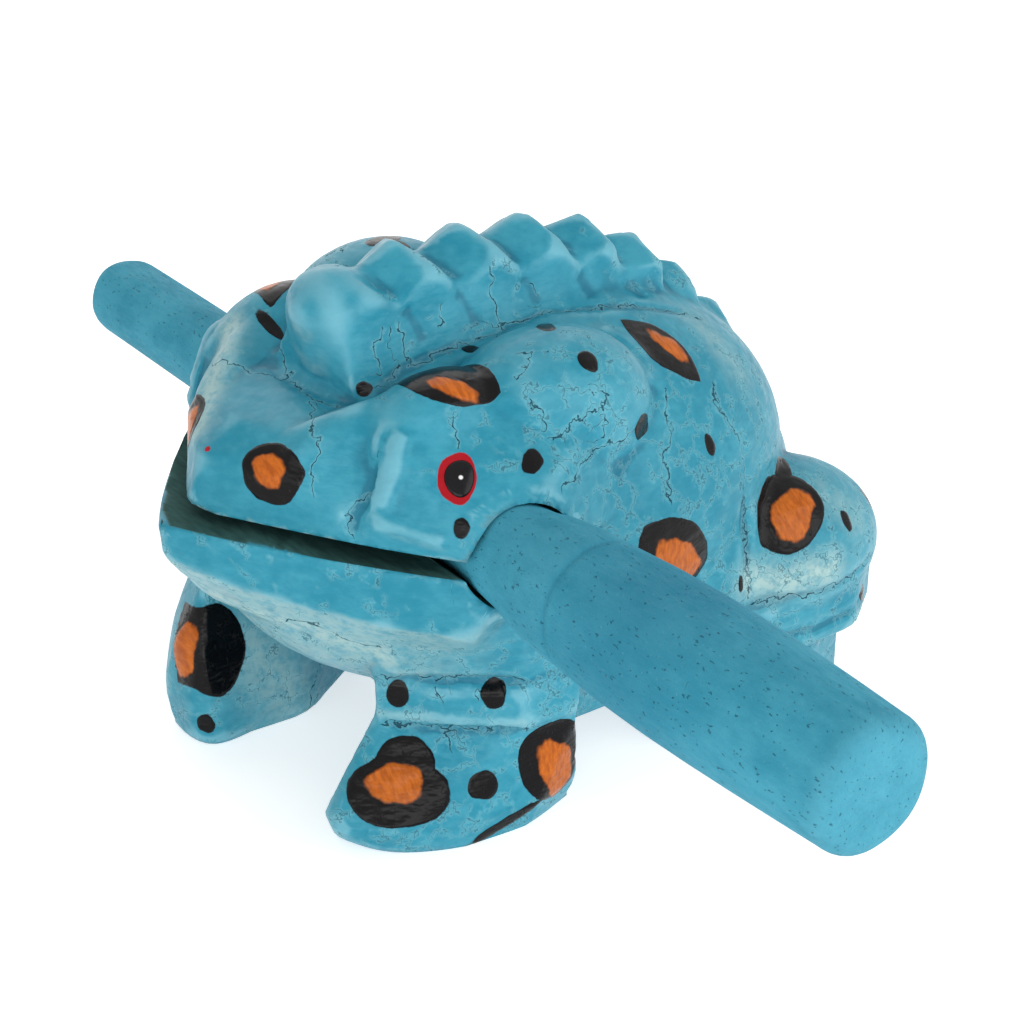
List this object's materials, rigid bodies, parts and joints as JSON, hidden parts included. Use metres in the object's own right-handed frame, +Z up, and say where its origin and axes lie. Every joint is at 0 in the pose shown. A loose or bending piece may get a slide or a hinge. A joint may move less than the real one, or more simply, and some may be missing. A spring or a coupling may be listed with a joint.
{
  "type": "frog guiro",
  "caption": "Carved wooden frog scraper with a notched back ridge, painted blue with spots, and the turned stick stored in the hole through its cheeks.",
  "frame": {"origin": "on the ground, under the middle of the whole object's box", "axes": "+Z up, the frog faces -Y and its left side is +X; the stick lies nearly along X with its handle at +X"},
  "size_m": [0.1554, 0.095, 0.0683],
  "materials": {
    "blue_paint": "painted, semi-gloss, finely crazed",
    "stained_wood": "stained, matte"
  },
  "bodies": {
    "root": {"frog_body": "blue_paint", "rasp_stick": "stained_wood"}
  },
  "joints": []
}
